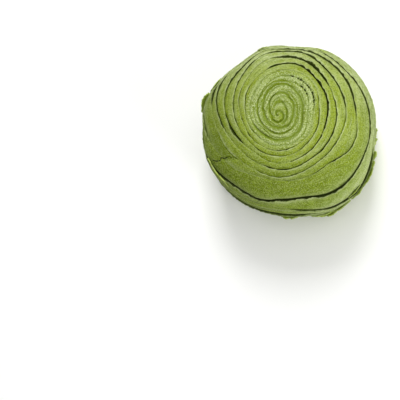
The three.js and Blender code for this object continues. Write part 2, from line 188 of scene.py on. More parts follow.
# Torn flakes: way down the outline to the root, compass angle, length along the seam, height, and how far
# the free edge stands off
FLAKES = (
    (38.5, 161, 7.5, 4.5, 1.5),
    (35, 148, 6, 3.5, 0.8),
    (33, 106, 4, 2.4, 0.8),
    (33, 62, 4, 2.2, 0.7),
    (52, 344, 3, 2.5, 1.2),
    (52.5, 338, 3, 2.2, 1.2),
    (54, 330, 9, 3.5, 1.4),
    (56, 318, 7, 3, 1),
    (57, 303, 8, 3.5, 1.1),
    (57, 289, 8, 3.5, 0.9),
    (48.5, 315.5, 6, 3.6, 1),
    (36, 214, 13, 3.5, 0.9),
)
FOOT_FLAKES = (15, 60.5, 6.5, 3.2, 1.1)   # how many round the foot, way, length, height and stand-off
FOOT_FLAKES_VARY = (0.3, 0.35, 3)         # in size, in spacing, and in mm up the side
FOOT_FLAKES_TURN = (1.7, 2.3, 3.1)        # radians from one to the next of the waves by which they vary
FOOT_FLAKES_FIRST = 0.5                   # radians at which the first of these waves starts
FLAKE_RAGGED = 0.2                        # share of its height
FLAKE_RAGS = ((1.4, 1), (0.5, 0.7))       # length along the free edge, and weight
FLAKE_RAGS_START = 40                     # keeps their places in the random table above zero
FLAKE_ENDS_FALL = 0.93                    # how far the height falls off at both ends
FLAKE_SLOPE = 0.09                        # of the root, every second one the other way
FLAKE_FLATTER_ENDS = 0.5                  # share of its stand-off that is lost at both ends
FLAKE_SUNK = 0.1                          # how deep the root lies under the skin
FLAKE_THICKNESS = (1.3, 0.3)              # at the root and at the free edge

# Tears across a sheet, each painted as a dark shadow line: ways down the outline and compass angles along
# each, and its half width
TEARS = (
    (((20.8, 222), (23.1, 215), (24.6, 214), (25.7, 211.3), (27, 212), (28, 211), (29.4, 209), (30.7, 207)),
     0.22),
)

# Fine mesh
COLUMNS = 370
ROWS = (0, 0.04, 0.12, 0.26, 0.44, 0.63, 0.82, 0.94, 1)   # shares across a turn
CRACK_ROWS = 3                   # more rows beyond it: two on the crack's floor, one under the next edge
ROW_SHARES = np.array(ROWS + (1,) * CRACK_ROWS)
CRACK_SLIDES = (  # how far each of those slides outwards where the sheets lie down, and by the gap's width
    (0.3, -0.2),
    (0.5, 0.2),
    (0.1, 0.5),
)
CRACK_DEPTH = (0.1, 0.06)        # least depth, and the same between the soft ridges
STANDING_CRACK_DEPTH = 0.5       # added where the sheets stand on edge
LYING_CRACK_RISES = 0.6          # share that a crack's floor rises again where the sheets lie down
SHEET_THICKNESS = 0.4
SHEETS_LIE_DOWN = (11, 14.5)     # inside these turns the sheets stand on edge, outside they overlap
INNERMOST_ROW = 0.25
EYE_RELIEF = 0.05                # share of the relief that is left at the innermost row
OUTERMOST_ROW = TURNS - 0.1
FLAKE_STATIONS = 30
FLAKE_ROWS = 7
SHARP_ANGLE = math.radians(45)

# What the material is told about the skin, with the places where highlight and shade are painted
# The lips' pale colour is a painted highlight, along the edges of the turns and of the torn sheet
LIP_WIDTH = 0.35
TORN_LIP_WIDTH = 0.3
# The cracks' dark colour is painted shade: on their floors, under the next edge, and on the dough just before
# it tucks under
SHADE_WIDTH = 0.12
SHADE_OPENS = 0.25              # gap at which the painted shade in a crack is fully dark
UNDER_EDGE_SHADE = 0.75         # painted shade of the row under the next edge
RIDGE_SHADE = 0.7               # share of the painted shade that is lost between the soft ridges
RIDGE_CRACKS = (0.1, 0.3)        # gaps between which it comes back there
GROOVE_DEPTH = 0.5               # of an eye groove that is fully coloured with darker green and painted shade
SEAM_GROOVE_COLOUR = 0.45        # share of colour, darker green and painted shade, in the seams between the ridges
CREST_DEPTH = 0.25               # of an eye groove in which no crest is left
CRESTS_START = (1, 4)            # the turns between which the crests' flour and painted highlight grow
EYE_CREST = 0.3                  # share of it at the eye, kept low so that the eye is painted darker, as if more of it lay in shade
HEMS_START = (13, 15)            # the turns between which the pale hem under the next edge grows
HEM_WIDTH = 1.4
FLAKE_LIP = (0.1, 0.8, 0.35)     # share of the painted highlight at the root and at the free edge, and its width
FLAKE_ROOT_SHADE = 0.3               # painted shade at the inside of the root
SHEETS_APART = 10.0              # keeps the streaks of one sheet from going on in the next
FLAKES_APART = 50                # the same for the flakes

# Random values
NOISE_TABLE = np.random.default_rng(7).uniform(-1, 1, 8192)
SEED_STRIDE = 911                # places in the table from one seed to the next
SEEDS = {  # of the first sheet, row or flake of each kind
    "closed gap": 2,
    "gap": 12,
    "rag": 22,
    "fine rag": 32,
    "long closed gap": 42,
    "kink": 52,
    "eye groove": 61,
    "torn": 71,
    "crumb": 80,
    "flake": 90,
    "fine flake": 120,
}
TRAVEL_STEPS = 2000
TRAVEL_DIRECTIONS = 16


def smoothstep(x, low, high):
    t = np.clip((np.asarray(x, float) - low) / (high - low), 0, 1)
    return t * t * (3 - 2 * t)


def lerp(a, b, t):
    return a + (b - a) * t


def bell(x, width):
    """One at zero, falling off to both sides."""
    return np.exp(-(x / width) ** 2)


def falling(x, reach):
    """One at zero, falling off over the reach."""
    return np.exp(-x / reach)


def window(x, start, end, ramp):
    """One between start and end, easing to zero over the ramp inside them."""
    ramp = min(ramp, (end - start) / 2)
    return smoothstep(x, start, start + ramp) * (1 - smoothstep(x, end - ramp, end))


def body_outline():
    """Length walked, radius and height along the outline, from the top of the axis to the base's edge."""
    below_to_pole = WIDEST_AT / (1 - (BASE_RADIUS / BODY_RADIUS) ** FOOT_POWER) ** (1 / FOOT_POWER)
    foot_end = math.asin((WIDEST_AT / below_to_pole) ** (FOOT_POWER / 2))
    t = np.linspace(0, math.pi / 2, OUTLINE_STEPS)
    upper_r = BODY_RADIUS * np.sin(t) ** (2 / SHOULDER_POWER)
    upper_z = WIDEST_AT + (HEIGHT - WIDEST_AT) * np.maximum(np.cos(t), 0) ** (2 / SHOULDER_POWER)
    t = np.linspace(0, foot_end, OUTLINE_STEPS)[1:]
    r = np.concatenate([upper_r, BODY_RADIUS * np.cos(t) ** (2 / FOOT_POWER)])
    lower_z = WIDEST_AT - below_to_pole * np.sin(t) ** (2 / FOOT_POWER)
    z = np.concatenate([upper_z, np.maximum(lower_z, 0)])
    length = np.concatenate([[0], np.cumsum(np.hypot(np.diff(r), np.diff(z)))])
    return length, r, z


OUTLINE = body_outline()
OUTLINE_LENGTH = OUTLINE[0][-1]


def outline_at(length):
    """Radius, height and outward normal of the smooth body."""
    walked, r, z = OUTLINE
    before = np.clip(length - SLOPE_STEP, 0, OUTLINE_LENGTH)
    after = np.clip(length + SLOPE_STEP, 0, OUTLINE_LENGTH)
    run = np.interp(after, walked, r) - np.interp(before, walked, r)
    fall = np.interp(before, walked, z) - np.interp(after, walked, z)
    size = np.hypot(run, fall)
    at = np.clip(length, 0, OUTLINE_LENGTH)
    return np.interp(at, walked, r), np.interp(at, walked, z), fall / size, run / size


def curve_through(a, b, c, d, t):
    """Smooth curve from b to c, with a before them and d after them."""
    return b + 0.5 * t * (c - a + t * (2 * a - 5 * b + 4 * c - d + t * (3 * (b - c) + d - a)))


def value_round(values, angle):
    """Smooth curve through values that stand at equal angles round the circle."""
    values = np.array(values, float)
    place = angle / math.tau % 1 * len(values)
    i = np.floor(place).astype(int)
    near = [values[(i + step) % len(values)] for step in (-1, 0, 1, 2)]
    return curve_through(*near, place - i)


def value_along(values, place):
    """Smooth curve through values that stand at places 0, 1, 2 and so on."""
    values = np.array(values, float)
    last = len(values) - 1
    place = np.clip(place, 0, last)
    i = np.floor(place).astype(int)
    near = [values[np.clip(i + step, 0, last)] for step in (-1, 0, 1, 2)]
    return curve_through(*near, place - i)


def bump_at(angle, length):
    return value_round(BULGES, angle + BULGE_TWIST * (length - WIDEST_WAY)) * smoothstep(length, *BULGES_GROW)


def table_distance(f, angle):
    """Distance of a turn from the eye, with straight lines between the turns of the table."""
    turns = [0] + [turn for turn, _ in TURN_DISTANCES] + [TURNS]
    distances = [value_round(row, angle) for _, row in TURN_DISTANCES]
    distances = [0 * angle] + distances + [0 * angle + OUTLINE_LENGTH]
    result = distances[-1]
    for i in range(len(turns) - 1):
        inside = (f <= turns[i + 1]) & ((f > turns[i]) | (i == 0))
        share = (f - turns[i]) / (turns[i + 1] - turns[i])
        result = np.where(inside, lerp(distances[i], distances[i + 1], share), result)
    return result


def turn_distance(f, angle):
    """Distance of a turn from the eye along the surface."""
    before, here, after = (table_distance(f + step, angle) for step in (-EASE, 0, EASE))
    return (before + 2 * here + after) / 4


def spiral_place(f, angle, slide=0):
    """Length along the outline and angle round the axis."""
    distance = turn_distance(f, angle) + slide
    drift = 1 - smoothstep(f, *DRIFT)
    x = EYE[0] * drift + distance * np.cos(angle)
    y = EYE[1] * drift + distance * np.sin(angle)
    return np.hypot(x, y), np.arctan2(y, x)


def surface_points(length, angle, out):
    r, z, normal_r, normal_z = outline_at(length)
    r = np.maximum(r + normal_r * out, 0)
    z = np.maximum(z + normal_z * out, 0)
    return np.stack([r * np.cos(angle), r * np.sin(angle), z], -1)


def opening_of(seam, degrees):
    """How far each seam has sprung open: share, gap, lift, and how much the gap comes and goes."""
    opening = np.zeros((4, len(degrees)))
    for opened, start, end, gap, lift, broken in OPEN_SEAMS:
        laps = (opened - seam) / SHEETS
        near = window(degrees + 360 * laps, start, end, SEAM_OPENS_OVER)
        share = np.where(laps == np.round(laps), near, 0)
        opening = np.maximum(opening, np.outer((1, gap, lift, broken), share))
    return opening


def eye_groove(distance, degrees):
    """Depth of the soft grooves that wind in round the eye."""
    deepest = 0 * distance
    for width, depth, start, distances in EYE_GROOVES:
        end = start + TABLE_STEP * (len(distances) - 1)
        for lap in range(-1, 3):
            along = degrees + 360 * lap
            place = value_along(distances, (along - start) / TABLE_STEP)
            near = bell(distance - place, width) * window(along, start, end, EYE_GROOVES_EASE)
            deepest = np.maximum(deepest, depth * near)
    return deepest


def table_pair(x, seed):
    """The random values before and after x, and how far x has got from one to the other."""
    i = np.floor(x).astype(int)
    start = seed * SEED_STRIDE
    size = len(NOISE_TABLE)
    return NOISE_TABLE[(i + start) % size], NOISE_TABLE[(i + 1 + start) % size], x - i


def rough(x, seed):
    """Smooth random values from -1 to 1 along x, one feature per unit."""
    before, after, share = table_pair(x, seed)
    return lerp(before, after, smoothstep(share, 0, 1))


def kinked(x, seed):
    """Random values from -1 to 1 along x, joined by straight lines."""
    before, after, share = table_pair(x, seed)
    return lerp(before, after, share)


def travel_tables():
    """Turn count, and the way walked along the spiral to it, for textures that follow the dough."""
    turns = np.linspace(-SHEETS, TURNS + SHEETS, TRAVEL_STEPS)
    angles = np.linspace(0, math.tau, TRAVEL_DIRECTIONS, endpoint=False)
    mean = np.mean([turn_distance(np.maximum(turns, 0), np.full(len(turns), a)) for a in angles], 0)
    radius = np.interp(mean, OUTLINE[0], OUTLINE[1])
    walked = np.cumsum(radius) * (turns[1] - turns[0]) * math.tau / SHEETS
    return turns, walked


TRAVEL = travel_tables()


def edge_facts(seam, turn, degrees, walked):
    """What an edge is like along its way: gap under it, lift, raggedness, wavering, opening, and bareness."""
    sheet = seam % SHEETS
    share, gap, lift, broken = opening_of(seam, degrees)

    gape = sum(rough(walked / length, SEEDS[name] + sheet)
               for length, name in zip(CLOSED_GAP_LENGTHS, ("closed gap", "long closed gap")))
    gape = np.maximum(CLOSED_GAP_MEAN + CLOSED_GAP_SWING * gape, 0)
    shut = CLOSED_GAP * smoothstep(turn, *GAP_GROWS) * gape
    dash = smoothstep(rough(walked / DASH_LENGTH, SEEDS["gap"] + sheet), 0, DASH_ENDS)
    swing = 1 + GAP_SWING * rough(walked / GAP_LENGTH, SEEDS["gap"] + sheet)
    gap = gap * swing * lerp(1, dash, broken) + shut

    ragged = sum(size * rough(walked / length, SEEDS[name] + sheet)
                 for (length, size), name in zip(RAGS, ("rag", "fine rag")))
    ragged = ragged * (1 + RAGS_BY_GAP * gap)
    waver = sum(size * np.sin(per_turn * turn + WAVE_SHIFT * sheet) for per_turn, size in EDGE_WAVES)
    share = np.maximum(lerp(PRESSED_SHUT, 1, share), smoothstep(turn, *FOOT_SPRINGS))
    growth = lerp(*EDGE_LIFT, smoothstep(turn, *RELIEF_GROWS))
    lift = share * growth * (1 + WAVES_LIFT * waver) + lift + ragged

    bare = (seam == BARE_SEAM) * window(degrees, *BARE, BARE_EASE)
    flat = (seam == FLAT_SEAM) * window(degrees, *FLAT, FLAT_EASE)
    lift = lift * (1 - np.maximum(bare, flat))
    kinks = kinked(walked / KINK_LENGTH, SEEDS["kink"] + sheet)
    waver = waver + KINK_SIZE * smoothstep(turn, *KINKS_START) * kinks
    return gap * (1 - flat), lift, ragged * (1 - flat), waver, share * (1 - flat), bare


def torn_away(seam, q, degrees):
    """One where the outer sheet is torn away, up to a kinked line that leans across the turn."""
    starts = smoothstep(degrees, BARE[0], BARE[0] + TORN_STARTS_OVER)
    leaning = degrees + TORN_LEAN * q + kinked(q * TORN_KINKS, SEEDS["torn"])
    ends = smoothstep(leaning, BARE[1] - TORN_ENDS_OVER, BARE[1])
    return (seam == BARE_SEAM) * starts * (1 - ends)


def skin_points(seam, row, angle):
    """Points of the skin, and what the material needs to know about each."""
    crack_row = np.maximum(row - len(ROWS) + 1, 0)
    q = ROW_SHARES[row]
    degrees = np.degrees(angle)
    start = seam - SHEETS * degrees / 360
    f = start + q
    width = np.maximum(turn_distance(start + 1, angle) - turn_distance(start, angle), LEAST_WIDTH)
    from_edge = q * width
    to_tuck = (1 - q) * width
    walked, next_walked = np.interp(start, *TRAVEL), np.interp(start + 1, *TRAVEL)
    gap, lift, ragged, waver, share, bare = edge_facts(seam, start, degrees, walked)
    next_facts = edge_facts(seam + 1, start + 1, degrees, next_walked)
    next_gap, next_lift, next_ragged, next_waver, next_share, next_bare = next_facts

    fade = lerp(EYE_RELIEF, 1, smoothstep(f, INNERMOST_ROW, RELIEF_STARTS))
    fade = fade * smoothstep(TURNS - f, 0, RELIEF_ENDS)
    ridges = 1 - smoothstep(f, *RIDGES_END)
    lying = smoothstep(f, *SHEETS_LIE_DOWN)
    tuck = next_share * lerp(*TUCK_DEPTH, smoothstep(f, *RELIEF_GROWS)) + GAP_TUCK * next_gap
    tuck = tuck * (1 - next_bare)
    crumbled = window(degrees, *CRUMBLED[:2], CRUMBLED_EASE[0])
    crumbled = crumbled * window(seam + q, *CRUMBLED[2:], CRUMBLED_EASE[1])
    torn_off = torn_away(seam, q, degrees)
    grooved = np.maximum(bell(from_edge, SEAM_GROOVE_WIDTH), bell(to_tuck, SEAM_GROOVE_WIDTH))
    rag_length, rag_size = EYE_GROOVE_RAGS
    rag = rag_size * rough(walked / rag_length, SEEDS["eye groove"])
    wound = eye_groove(turn_distance(f + waver / 2, angle) + rag, degrees)

    # Relief and slide along the outline of the rows across the turn
    whole, near, reach = EDGE_CURL
    raised = lift * (whole * (1 - q) + near * falling(from_edge, reach))
    whole, near, reach = TUCK_CURL
    tucked = tuck * (whole * q ** 2 + near * falling(to_tuck, reach))
    rounded = EDGE_ROUNDING[0] * falling(from_edge, EDGE_ROUNDING[1])
    rounded += TUCK_ROUNDING[0] * bell(to_tuck, TUCK_ROUNDING[1])
    relief = (raised - tucked - rounded + CROWN * np.sin(math.pi * q)) * (1 - ridges)
    relief -= SEAM_GROOVE * ridges * grooved
    crumb_length, crumb_height, crumbled_height = CRUMBS
    relief += (crumb_height + crumbled_height * crumbled) * rough(walked / crumb_length, SEEDS["crumb"] + row)
    relief -= TORN_DEPTH * torn_off * (1 - q ** 3)
    slide = (gap / 2 + ragged) * falling(from_edge, SLIDE_REACH)
    slide += (CRACK_SLIDES[0][0] * lying - next_gap / 2) * falling(to_tuck, SLIDE_REACH)

    # The rows in the crack beyond it
    depth = lerp(*CRACK_DEPTH, ridges) + next_gap
    depth += STANDING_CRACK_DEPTH * smoothstep(f, *GAP_GROWS) * (1 - lying)
    floor_level = -tuck * (1 - ridges) - SEAM_GROOVE * ridges
    under_edge = lerp(next_lift - SHEET_THICKNESS, floor_level - LEAST_GAP, ridges)
    crack_height = (floor_level - depth, floor_level - depth * (1 - LYING_CRACK_RISES * lying), under_edge)
    crack_extra = (0, LEAST_GAP, next_ragged)
    for i, (by_lying, by_gap) in enumerate(CRACK_SLIDES):
        relief = np.where(crack_row == i + 1, crack_height[i], relief)
        slide = np.where(crack_row == i + 1, by_lying * lying + by_gap * next_gap + crack_extra[i], slide)

    length, place = spiral_place(f + fade * lerp(waver, next_waver, q), angle, fade * slide)
    points = surface_points(length, place, fade * (relief + bump_at(place, length)) - wound)

    cracked = smoothstep(next_gap, *RIDGE_CRACKS)
    # painted shade in the crack, darker as it opens
    crack_shade = np.where(crack_row == CRACK_ROWS, UNDER_EDGE_SHADE, 1) * smoothstep(next_gap, 0, SHADE_OPENS)
    crack_shade = crack_shade * (1 - RIDGE_SHADE * ridges * (1 - cracked))
    # painted highlight on the lip of each turn and of the torn sheet
    lip_highlight = share * falling(from_edge, LIP_WIDTH) * (1 - bare)
    lip_highlight = np.maximum(lip_highlight, next_bare * falling(to_tuck, TORN_LIP_WIDTH))
    between_grooves = 1 - np.minimum(wound / CREST_DEPTH, 1)
    facts = {
        "edge": fade * (1 - ridges) * np.where(crack_row > 0, 0, lip_highlight),
        "cavity": np.where(crack_row > 0, crack_shade, falling(to_tuck, SHADE_WIDTH) * crack_shade),
        "groove": np.maximum(wound / GROOVE_DEPTH, SEAM_GROOVE_COLOUR * fade * ridges * grooved),
        "crest": ridges * between_grooves * lerp(EYE_CREST, 1, smoothstep(f, *CRESTS_START)),
        "hem": fade * smoothstep(f, *HEMS_START) * bell(to_tuck, HEM_WIDTH),
        "crumb": crumbled,
        "bare": torn_off,
        "strand": np.stack([from_edge, walked, SHEETS_APART * (seam % SHEETS)], -1),
    }
    return points, facts


def skin_mesh():
    """One closed skin: columns round the eye, and rows that follow the seams."""
    per_turn = len(ROW_SHARES)
    column, row = np.meshgrid(np.arange(COLUMNS), np.arange((TURNS + SHEETS) * per_turn), indexing="ij")
    seam = row // per_turn
    f = seam + ROW_SHARES[row % per_turn] - SHEETS * column / COLUMNS
    valid = (f >= INNERMOST_ROW) & (f <= OUTERMOST_ROW)
    index = np.full(valid.shape, -1)
    index[valid] = np.arange(valid.sum())
    angle = math.tau * column / COLUMNS
    points, facts = skin_points(seam[valid], (row % per_turn)[valid], angle[valid])

    # The first column again a whole lap later, where each seam has SHEETS more seams inside it
    lap = SHEETS * per_turn
    again = np.full(index.shape[1], -1)
    again[lap:] = index[0][:-lap]
    index = np.vstack([index, again])

    corners = np.stack([index[:-1, :-1], index[:-1, 1:], index[1:, 1:], index[1:, :-1]], -1)
    quads = corners[(corners >= 0).all(-1)]
    faces = [tuple(int(v) for v in quad) for quad in quads]

    # Fans to the eye and to the middle of the base close it
    present = index >= 0
    first = present.argmax(1)
    last = index.shape[1] - 1 - present[:, ::-1].argmax(1)
    eye = len(points)
    eye_height = outline_at(np.array([math.hypot(*EYE)]))[1][0]
    angles = math.tau * np.arange(COLUMNS) / COLUMNS
    rim_points = surface_points(np.full(COLUMNS, OUTLINE_LENGTH), angles, 0 * angles)
    foot = eye + 1
    rim = foot + 1
    points = np.vstack([points, [[EYE[0], EYE[1], eye_height], [0, 0, 0]], rim_points])
    for i in range(COLUMNS):
        here, following = index[i], index[i + 1]
        next_rim = rim + (i + 1) % COLUMNS
        for r in range(first[i], first[i + 1]):
            faces.append((here[r], here[r + 1], following[first[i + 1]]))
        for r in range(last[i], last[i + 1]):
            faces.append((here[last[i]], following[r + 1], following[r]))
        faces.append((eye, here[first[i]], following[first[i + 1]]))
        faces.append((here[last[i]], rim + i, next_rim, following[last[i + 1]]))
        faces.append((rim + i, foot, next_rim))
    extra = len(points) - eye
    for name, values in facts.items():
        facts[name] = np.concatenate([values, np.zeros((extra,) + values.shape[1:])])
    return points, faces, facts


def flake_mesh(down, azimuth, length, height, off, index):
    """A torn leaf of dough, closed: rooted under the skin, its free edge ragged and pointing up the side."""
    across, up = np.meshgrid(np.linspace(-1, 1, FLAKE_STATIONS), np.linspace(0, 1, FLAKE_ROWS), indexing="ij")
    along = across * length / 2
    rags = sum(weight * rough(along / rag + FLAKE_RAGS_START, SEEDS[name] + index)
               for (rag, weight), name in zip(FLAKE_RAGS, ("flake", "fine flake")))
    torn = 1 + FLAKE_RAGGED * rags
    tall = height * torn * np.sqrt(1 - FLAKE_ENDS_FALL * across ** 4)
    angle = math.radians(azimuth) + along / BODY_RADIUS
    way = down + FLAKE_SLOPE * along * (1 if index % 2 else -1) - tall * up
    free = off * torn * (1 - FLAKE_FLATTER_ENDS * across ** 2)
    out = bump_at(angle, way) + lerp(-FLAKE_SUNK, free, up ** 0.9)
    outer = surface_points(way, angle, out)
    inner = surface_points(way, angle, out - lerp(*FLAKE_THICKNESS, up ** 0.5))

    front = np.arange(across.size).reshape(across.shape)
    back = front + across.size
    quads = [
        np.stack([front[:-1, :-1], front[1:, :-1], front[1:, 1:], front[:-1, 1:]], -1).reshape(-1, 4),
        np.stack([back[:-1, :-1], back[:-1, 1:], back[1:, 1:], back[1:, :-1]], -1).reshape(-1, 4),
        np.stack([back[:-1, 0], back[1:, 0], front[1:, 0], front[:-1, 0]], -1),
        np.stack([front[:-1, -1], front[1:, -1], back[1:, -1], back[:-1, -1]], -1),
        np.stack([front[0, :-1], front[0, 1:], back[0, 1:], back[0, :-1]], -1),
        np.stack([front[-1, 1:], front[-1, :-1], back[-1, :-1], back[-1, 1:]], -1),
    ]
    from_tip = (1 - up) * tall
    sheet = np.full(along.shape, SHEETS_APART * (index % SHEETS))
    strand = np.stack([from_tip, along + FLAKES_APART * index, sheet], -1)
    at_root, at_tip, lip_width = FLAKE_LIP
    points = np.concatenate([outer.reshape(-1, 3), inner.reshape(-1, 3)])
    facts = {
        # painted highlight along the flake's free edge
        "edge": np.concatenate([lerp(at_root, at_tip, falling(from_tip, lip_width)).ravel()] * 2),
        # painted light towards the flake's tip, more of it on the inner face
        "leaf": np.concatenate([(up ** 2).ravel(), np.sqrt(up).ravel()]),
        # painted shade inside the flake's root
        "cavity": np.concatenate([np.zeros(across.size), FLAKE_ROOT_SHADE * (1 - up).ravel()]),
        "strand": np.concatenate([strand.reshape(-1, 3)] * 2),
    }
    return points, np.concatenate(quads), facts


def foot_flakes():
    """A frill of small flakes round the foot, uneven in size and spacing."""
    count, down, length, height, off = FOOT_FLAKES
    size_varies, spacing_varies, rises = FOOT_FLAKES_VARY
    size_turn, spacing_turn, rise_turn = FOOT_FLAKES_TURN
    flakes = []
    for i in range(count):
        size = 1 + size_varies * math.sin(size_turn * i + FOOT_FLAKES_FIRST)
        azimuth = 360 / count * (i + spacing_varies * math.sin(spacing_turn * i))
        way = down - rises * math.sin(rise_turn * i) ** 2
        flakes.append((way, azimuth, length * size, height * size, off * size))
    return flakes


def flakes_mesh():
    """All torn flakes: those the photo shows, and those round the foot."""
    points, faces, facts = [], [], {}
    for i, flake in enumerate(list(FLAKES) + foot_flakes()):
        flake_points, flake_faces, flake_facts = flake_mesh(*flake, i)
        faces.append(flake_faces + sum(len(part) for part in points))
        points.append(flake_points)
        for name, values in flake_facts.items():
            facts.setdefault(name, []).append(values)
    facts = {name: np.concatenate(rows) for name, rows in facts.items()}
    return np.concatenate(points), np.concatenate(faces), facts


def make_object(name, points, faces, facts, offset):
    mesh = bpy.data.meshes.new(name)
    mesh.from_pydata(((points + offset) * MM).tolist(), [], [tuple(int(v) for v in face) for face in faces])
    for fact, values in facts.items():
        kind = "FLOAT_VECTOR" if values.ndim == 2 else "FLOAT"
        field = "vector" if values.ndim == 2 else "value"
        mesh.attributes.new(fact, kind, "POINT").data.foreach_set(field, values.astype(np.float32).ravel())
    mesh.polygons.foreach_set("use_smooth", [True] * len(mesh.polygons))
    mesh.update()
    mesh.set_sharp_from_angle(angle=SHARP_ANGLE)
    obj = bpy.data.objects.new(name, mesh)
    bpy.context.scene.collection.objects.link(obj)
    return obj


# Both pieces, moved so that they stand in the middle of the CAD part's box
skin_parts = skin_mesh()
flake_parts = flakes_mesh()
low, high = (np.array(corner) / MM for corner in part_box("pastry"))
all_points = np.concatenate([skin_parts[0], flake_parts[0]])
offset = (low + high - all_points.min(0) - all_points.max(0)) / 2
offset[2] = low[2] - all_points[:, 2].min()
skin = make_object("skin", *skin_parts, offset)
flakes = make_object("flakes", *flake_parts, offset)


def srgb(red, green, blue):
    """Linear colour of a picture's 0 to 255 values."""
    def linear(value):
        share = value / 255
        return share / 12.92 if share <= 0.04045 else ((share + 0.055) / 1.055) ** 2.4
    return linear(red), linear(green), linear(blue), 1.0


# Colours, as the photo's values
# deep green, partly the dough's own and partly painted shade low on the far flank
DOUGH_DEEP_AND_SHADED = srgb(127, 152, 18)
DOUGH = srgb(126, 142, 24)
DOUGH_PALE = srgb(144, 160, 54)
FLOURY = srgb(160, 173, 114)
SPECK = srgb(90, 108, 8)
# pale flour, and the painted highlight on the lips and the flakes' edges
FLOUR_AND_HIGHLIGHT = srgb(181, 193, 138)
# darker green of the grooves, partly painted shade
GROOVE_GREEN_AND_SHADE = srgb(101, 122, 18)
# painted light on the flakes, standing in for light on and through the thin sheets
FLAKE_PAINTED_LIGHT = srgb(186, 206, 62)
# near-black painted shade for the cracks, the flakes' roots and the tear
CRACK_SHADE = srgb(32, 42, 3)

# Flour and painted light lie thickest down the flanks on these sides, where a place's dot product with one of
# them is large
DUSTED_AND_LIT_SIDES = ((0.35, 0.95, -1.2), (-0.25, 1.15, -1.15), (0.9, -0.3, -1.8))
DUSTED_AND_LIT_FROM = (-27, -9)
FADED_AND_LIT_SIDE = (0.35, 0.5, 1.6)    # the green is deepest low on the flank towards -X and -Y, partly the dough's own and partly painted shade
FADED_AND_LIT_FROM = (48, 72)
PATCHINESS = 12.0                # how far clouds of noise move those limits
LEAST_FLOUR_AND_LIGHT = 0.1                # share of flour and painted light on the deepest green, where shade is painted
BARE_SKIN = 0.4                  # share of the streaks that is lost where a sheet is torn away
ROUGHNESS = 0.85
SPECULAR = 0.12
BUMP_HEIGHT = 0.00028            # metres
BUMP_STRENGTH = 0.85
GRAIN_BUMP = 0.4                 # shares of the bump
STREAK_BUMP = 0.8
TEAR_BUMP = -1.5
TEAR_GRAIN = 1.1                 # noise scale of a tear's wobbling outline
TEAR_WOBBLE = 2.2                # half widths
TEAR_ENDS = (1.5, 2.4)           # half widths from its line, with the wobble


class Nodes:
    """Short hand for the shader nodes of one material."""

    def __init__(self, material):
        self.tree = material.node_tree

    def add(self, kind, inputs=(), **settings):
        node = self.tree.nodes.new(kind)
        for key, value in settings.items():
            setattr(node, key, value)
        for socket, value in dict(inputs).items():
            if isinstance(value, bpy.types.NodeSocket):
                self.tree.links.new(value, node.inputs[socket])
            else:
                node.inputs[socket].default_value = value
        return node

    def math(self, operation, a, b=0.0, clamp=False):
        return self.add("ShaderNodeMath", {0: a, 1: b}, operation=operation, use_clamp=clamp).outputs[0]

    def times(self, a, b):
        return self.math("MULTIPLY", a, b)

    def utmost(self, operation, values):
        """The largest or smallest of several values."""
        result = values[0]
        for value in values[1:]:
            result = self.math(operation, result, value)
        return result

    def vector(self, operation, a, b, output="Vector"):
        return self.add("ShaderNodeVectorMath", {0: a, 1: b}, operation=operation).outputs[output]

    def dot(self, a, b):
        return self.vector("DOT_PRODUCT", a, b, "Value")

    def mix(self, share, a, b):
        """Mix of two colours, which are this node's inputs 6 and 7 and its output 2."""
        return self.add("ShaderNodeMix", {0: share, 6: a, 7: b}, data_type="RGBA").outputs[2]

    def attribute(self, name, output="Fac"):
        return self.add("ShaderNodeAttribute", attribute_name=name).outputs[output]

    def noise(self, vector, scale, detail=2.0, roughness=0.5):
        return self.add("ShaderNodeTexNoise", {"Vector": vector, "Scale": scale, "Detail": detail,
                                               "Roughness": roughness}).outputs["Fac"]

    def ramp(self, value, low, high, to_low=0.0, to_high=1.0):
        node = self.add("ShaderNodeMapRange", {"Value": value, "From Min": low, "From Max": high,
                                               "To Min": to_low, "To Max": to_high})
        return node.outputs["Result"]

    def distance_to_line(self, place, start, end):
        run = end - start
        passed = self.vector("SUBTRACT", place, start)
        share = self.math("DIVIDE", self.dot(passed, run), run.length_squared, clamp=True)
        scaled = self.add("ShaderNodeVectorMath", {0: run, "Scale": share}, operation="SCALE")
        return self.vector("DISTANCE", passed, scaled.outputs["Vector"], "Value")


def tear_points(tear):
    """Places on the skin of a tear that is given by ways down the outline and compass angles."""
    ways, angles = (np.array(values, float) for values in zip(*tear))
    angles = np.radians(angles)
    places = surface_points(ways, angles, bump_at(angles, ways)) + offset
    return [Vector(place) for place in places]


def tear_share(n, place):
    """One in the tears, zero beside them, with a wobbling outline: where a shadow line is painted and sunk by
    the bump.
    """
    distances = []
    for tear, half_width in TEARS:
        points = tear_points(tear)
        for start, end in zip(points, points[1:]):
            distances.append(n.math("DIVIDE", n.distance_to_line(place, start, end), half_width))
    wobble = n.times(n.noise(place, TEAR_GRAIN, 2), TEAR_WOBBLE)
    return n.ramp(n.math("ADD", n.utmost("MINIMUM", distances), wobble), *TEAR_ENDS, 1, 0)


